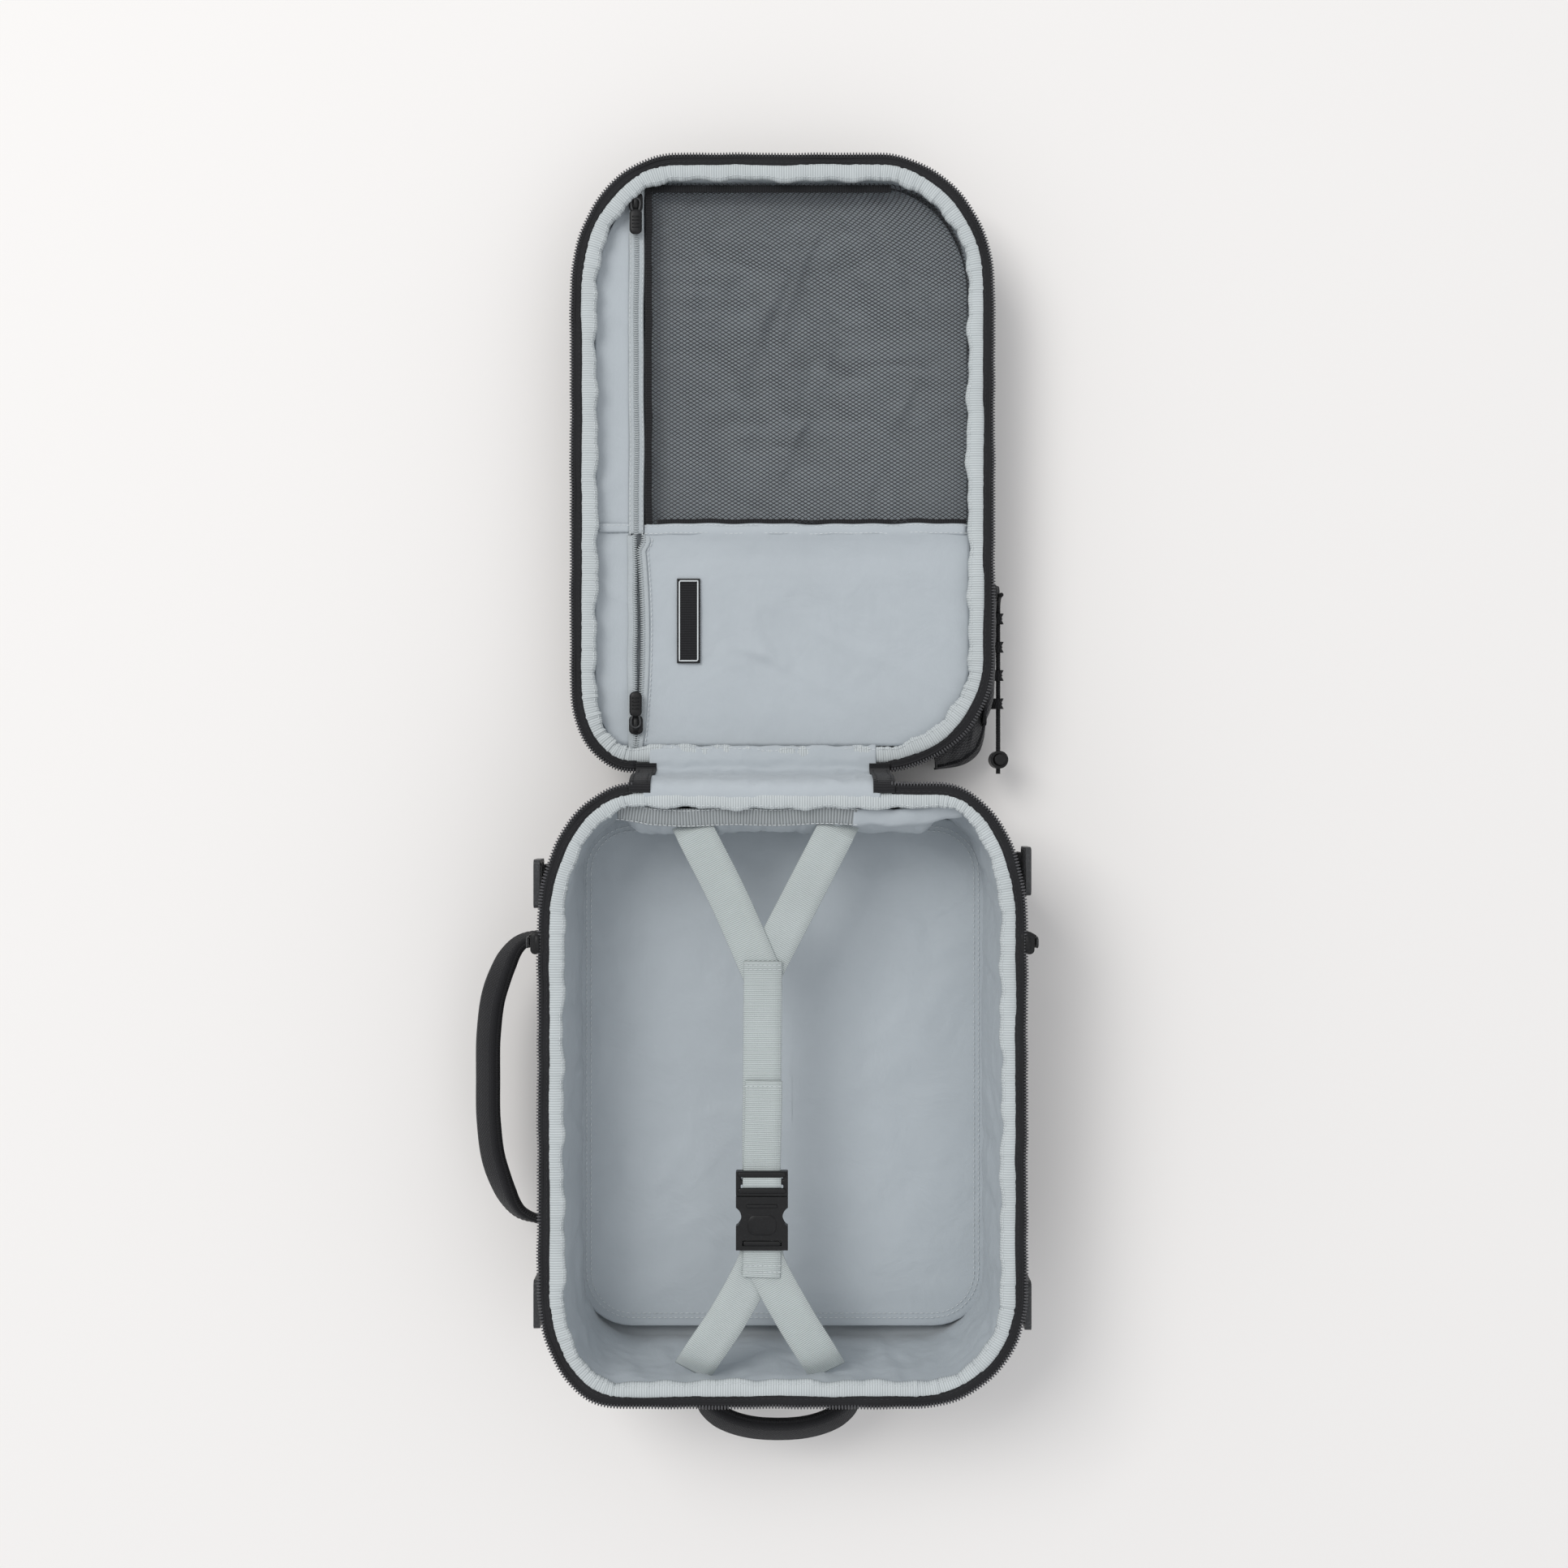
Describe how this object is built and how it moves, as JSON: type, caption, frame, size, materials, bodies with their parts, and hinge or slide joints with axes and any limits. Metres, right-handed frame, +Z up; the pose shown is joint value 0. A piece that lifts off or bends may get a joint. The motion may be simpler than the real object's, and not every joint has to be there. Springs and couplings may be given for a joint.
{
  "type": "travel backpack",
  "caption": "Soft carry-on backpack that opens flat like a suitcase: a deep main half with packing straps, and a zipped lid half with inner pockets.",
  "frame": {"origin": "centre of the back pads' flat outer face, under the main half", "axes": "+Z up from the floor, +Y from the main half towards the lid, +X to the right seen from above with the lid at the top"},
  "size_m": [0.3608, 0.8468, 0.125],
  "materials": {
    "shell_fabric": "matte woven",
    "black_webbing": "ribbed",
    "padding": "soft matte",
    "lining": "smooth woven",
    "grey_binding": "ribbed",
    "grey_webbing": "ribbed",
    "mesh": "open mesh",
    "zip_tape": "woven",
    "grey_zip": "woven",
    "black_plastic": "satin",
    "grey_plastic": "satin",
    "foam": "matte",
    "board": "matte",
    "cord": "braided"
  },
  "bodies": {
    "main": {"main_shell": "shell_fabric", "main_lining": "lining", "frame_sheet": "board", "back_foam": "foam", "laptop_divider": "lining", "main_zip_tape": "zip_tape", "main_binding": "grey_binding", "end_pocket_panel": "lining", "end_pocket_elastic": "grey_binding", "pack_straps": "grey_webbing", "buckle_socket": "black_plastic", "handle_anchors": "black_webbing", "webbing_tabs": "black_webbing", "hinge_gusset": "lining", "hinge_tabs": "black_webbing", "main_sliders": "black_plastic", "back_pads": "padding", "harness_yoke": "shell_fabric", "anchor_rings": "black_plastic", "trolley_sleeve": "shell_fabric"},
    "plug": {"buckle_plug": "black_plastic"},
    "arm_left": {"buckle_arm_left": "black_plastic"},
    "arm_right": {"buckle_arm_right": "black_plastic"},
    "side_grip": {"side_handle": "padding"},
    "top_grip": {"top_handle": "padding"},
    "lock_left_low": {"compression_lock_left_low": "grey_plastic"},
    "lock_left_high": {"compression_lock_left_high": "grey_plastic"},
    "lock_right_low": {"compression_lock_right_low": "grey_plastic"},
    "lock_right_high": {"compression_lock_right_high": "grey_plastic"},
    "pull_left": {"main_pull_left": "black_plastic"},
    "pull_right": {"main_pull_right": "black_plastic"},
    "strap_left": {"shoulder_strap_left": "padding", "strap_webbing_left": "black_webbing", "strap_hardware_left": "black_plastic"},
    "strap_right": {"shoulder_strap_right": "padding", "strap_webbing_right": "black_webbing", "strap_hardware_right": "black_plastic"},
    "lid": {"front_pocket_panel": "shell_fabric", "lid_shell": "shell_fabric", "lid_lining": "lining", "lid_zip_tape": "zip_tape", "lid_binding": "grey_binding", "lid_column": "lining", "mesh_pocket": "mesh", "lower_pocket": "lining", "pocket_hems": "zip_tape", "woven_patch": "black_webbing", "pocket_zips": "grey_zip", "compression_straps": "black_webbing", "bottle_pocket": "shell_fabric", "bottle_cord": "cord"},
    "mesh_runner": {"mesh_slider": "black_plastic"},
    "mesh_tab": {"mesh_pull": "black_plastic"},
    "lower_runner": {"lower_slider": "black_plastic"},
    "lower_tab": {"lower_pull": "black_plastic"},
    "front_runner": {"front_slider": "black_plastic"},
    "front_tab": {"front_pull": "black_plastic"},
    "cord_lock": {"cord_lock_barrel": "black_plastic"},
    "cord_button": {"cord_lock_button": "black_plastic"}
  },
  "joints": [
    {"name": "lid_hinge", "type": "hinge", "parent": "main", "child": "lid", "pos_m": [0, 0.20475, 0.0953], "axis": [1, 0, 0], "range_deg": [0, 180]},
    {"name": "buckle_release", "type": "slide", "parent": "main", "child": "plug", "axis": [0, 1, 0], "range_m": [0, 0.028]},
    {"name": "arm_left_squeeze", "type": "hinge", "parent": "plug", "child": "arm_left", "pos_m": [-0.022, -0.0655, 0.1155], "axis": [0, 0, 1], "range_deg": [0, 8], "stiffness_Nm_per_rad": 0.3},
    {"name": "arm_right_squeeze", "type": "hinge", "parent": "plug", "child": "arm_right", "pos_m": [-0.004, -0.0655, 0.1155], "axis": [0, 0, -1], "range_deg": [0, 8], "stiffness_Nm_per_rad": 0.3},
    {"name": "side_handle_swing", "type": "hinge", "parent": "main", "child": "side_grip", "pos_m": [-0.1588, 0.0025, 0.065], "axis": [0, 1, 0], "range_deg": [-60, 60]},
    {"name": "top_handle_swing", "type": "hinge", "parent": "main", "child": "top_grip", "pos_m": [-0.003, -0.2018, 0.065], "axis": [1, 0, 0], "range_deg": [-60, 60]},
    {"name": "lock_left_low_swing", "type": "hinge", "parent": "main", "child": "lock_left_low", "pos_m": [-0.1565, -0.1355, 0.092], "axis": [0, -1, 0], "range_deg": [0, 150]},
    {"name": "lock_left_high_swing", "type": "hinge", "parent": "main", "child": "lock_left_high", "pos_m": [-0.1565, 0.137, 0.092], "axis": [0, -1, 0], "range_deg": [0, 150]},
    {"name": "lock_right_low_swing", "type": "hinge", "parent": "main", "child": "lock_right_low", "pos_m": [0.1565, -0.1355, 0.092], "axis": [0, 1, 0], "range_deg": [0, 150]},
    {"name": "lock_right_high_swing", "type": "hinge", "parent": "main", "child": "lock_right_high", "pos_m": [0.1565, 0.137, 0.092], "axis": [0, 1, 0], "range_deg": [0, 150]},
    {"name": "pull_left_swing", "type": "hinge", "parent": "main", "child": "pull_left", "pos_m": [-0.1618, 0.096, 0.118], "axis": [0, 1, 0], "range_deg": [0, 120]},
    {"name": "pull_right_swing", "type": "hinge", "parent": "main", "child": "pull_right", "pos_m": [0.1618, 0.096, 0.118], "axis": [0, -1, 0], "range_deg": [0, 120]},
    {"name": "strap_left_swing", "type": "hinge", "parent": "main", "child": "strap_left", "pos_m": [-0.05, -0.15, 0.0093], "axis": [-1, 0, 0], "range_deg": [0, 85]},
    {"name": "strap_right_swing", "type": "hinge", "parent": "main", "child": "strap_right", "pos_m": [0.05, -0.15, 0.0093], "axis": [-1, 0, 0], "range_deg": [0, 85]},
    {"name": "mesh_slider_run", "type": "slide", "parent": "lid", "child": "mesh_runner", "axis": [0, -1, 0], "range_m": [0, 0.21]},
    {"name": "mesh_pull_swing", "type": "hinge", "parent": "mesh_runner", "child": "mesh_tab", "pos_m": [-0.0976, 0.5852, 0.06], "axis": [-1, 0, 0], "range_deg": [0, 70]},
    {"name": "lower_slider_run", "type": "slide", "parent": "lid", "child": "lower_runner", "axis": [0, 1, 0], "range_m": [0, 0.12]},
    {"name": "lower_pull_swing", "type": "hinge", "parent": "lower_runner", "child": "lower_tab", "pos_m": [-0.0976, 0.2348, 0.06], "axis": [1, 0, 0], "range_deg": [0, 70]},
    {"name": "front_slider_run", "type": "slide", "parent": "lid", "child": "front_runner", "axis": [1, 0, 0], "range_m": [0, 0.17]},
    {"name": "front_pull_swing", "type": "hinge", "parent": "front_runner", "child": "front_tab", "pos_m": [-0.0952, 0.6084, 0.0062], "axis": [0, 0, 1], "range_deg": [0, 90]},
    {"name": "cord_lock_run", "type": "slide", "parent": "lid", "child": "cord_lock", "axis": [0, 1, 0], "range_m": [0, 0.018]},
    {"name": "cord_button_press", "type": "slide", "parent": "cord_lock", "child": "cord_button", "axis": [0, 0, -1], "range_m": [0, 0.0013], "stiffness_N_per_m": 300}
  ]
}
